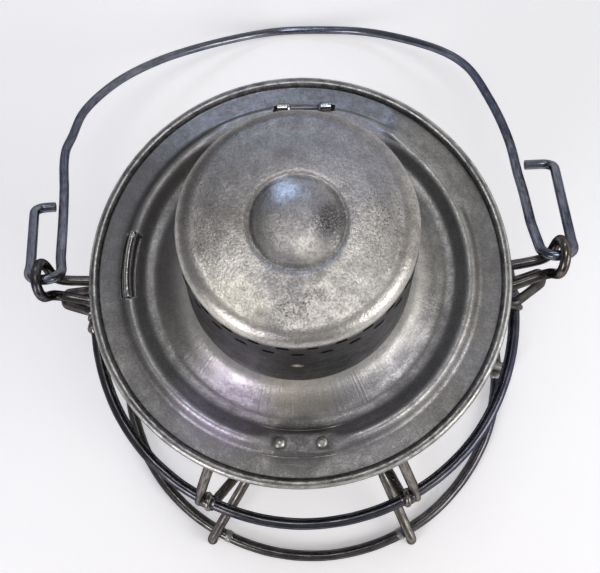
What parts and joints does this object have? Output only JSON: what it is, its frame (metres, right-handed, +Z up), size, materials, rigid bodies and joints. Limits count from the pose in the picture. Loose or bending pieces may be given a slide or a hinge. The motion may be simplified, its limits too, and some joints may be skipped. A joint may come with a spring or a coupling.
{
  "type": "railroad lantern",
  "caption": "Hand lantern: wire guard round a clear globe, fount and burner in the foot, hinged lid with vented smoke dome, and a wire bail that swings in side eyes.",
  "frame": {"origin": "on the lantern's axis at the fount's flat underside, 6 mm above the surface that the base ring stands on", "axes": "+Z up, -Y to the latch at the front, +Y to the lid hinge, +X to the right-hand eye of the bail"},
  "size_m": [0.2103, 0.2638, 0.2606],
  "materials": {
    "tinned_steel": "worn tinned sheet steel, satin, with dark patina in the hollows",
    "dark_wire": "dark oxidised steel wire with rubbed highlights",
    "spring_steel": "dull spring steel",
    "brass": "tarnished brass",
    "glass": "clear blown glass",
    "cotton": "flat woven cotton wick"
  },
  "bodies": {
    "frame": {"base_ring": "dark_wire", "guard_ring": "dark_wire", "upright_1": "dark_wire", "upright_2": "dark_wire", "upright_3": "dark_wire", "upright_4": "dark_wire", "upright_5": "dark_wire", "upright_6": "dark_wire", "collar_band": "tinned_steel", "fount_well": "tinned_steel", "globe_seat": "tinned_steel", "globe": "glass", "ear_left": "dark_wire", "ear_right": "dark_wire", "ear_stay_left": "dark_wire", "ear_stay_right": "dark_wire", "hinge_leaf": "spring_steel"},
    "lid": {"lid_pan": "tinned_steel", "smoke_dome": "tinned_steel", "draft_baffle": "tinned_steel", "globe_retainer": "tinned_steel", "hinge_wire": "dark_wire", "latch_rivet_left": "tinned_steel", "latch_rivet_right": "tinned_steel", "latch_plate": "spring_steel"},
    "latch": {"latch_spring": "spring_steel"},
    "bail": {"bail": "dark_wire"},
    "fount": {"fount_tank": "tinned_steel", "burner_collar": "brass", "burner_cap": "brass", "wick_tube": "brass"},
    "raiser": {"raiser_shaft": "brass", "raiser_wheel_front": "brass", "raiser_wheel_rear": "brass", "raiser_knob": "brass"},
    "wick": {"wick": "cotton"}
  },
  "joints": [
    {"name": "lid_hinge", "type": "hinge", "parent": "frame", "child": "lid", "pos_m": [0.0027, 0.0625, 0.1786], "axis": [-1, 0, 0], "range_deg": [0, 95]},
    {"name": "latch_flex", "type": "hinge", "parent": "lid", "child": "latch", "pos_m": [-0.0005, -0.0612, 0.1788], "axis": [-1, 0, 0], "range_deg": [0, 6], "stiffness_Nm_per_rad": 0.4},
    {"name": "bail_swing", "type": "hinge", "parent": "frame", "child": "bail", "pos_m": [0, 0.00565, 0.172], "axis": [0.9997, 0.0244, 0], "range_deg": [0, 272]},
    {"name": "fount_twist", "type": "hinge", "parent": "frame", "child": "fount", "pos_m": [0, 0, 0], "axis": [0, 0, -1], "range_deg": [0, 15]},
    {"name": "raiser_turn", "type": "hinge", "parent": "fount", "child": "raiser", "pos_m": [0.0051, -0.052, 0.044], "axis": [0, 1, 0], "range_deg": [-45, 90]},
    {"name": "wick_slide", "type": "slide", "parent": "fount", "child": "wick", "axis": [0, 0, 1], "range_m": [-0.0032, 0.0064]}
  ],
  "couplings": [
    {"joint": "wick_slide", "follows": "raiser_turn", "m_per_rad": 0.004}
  ]
}
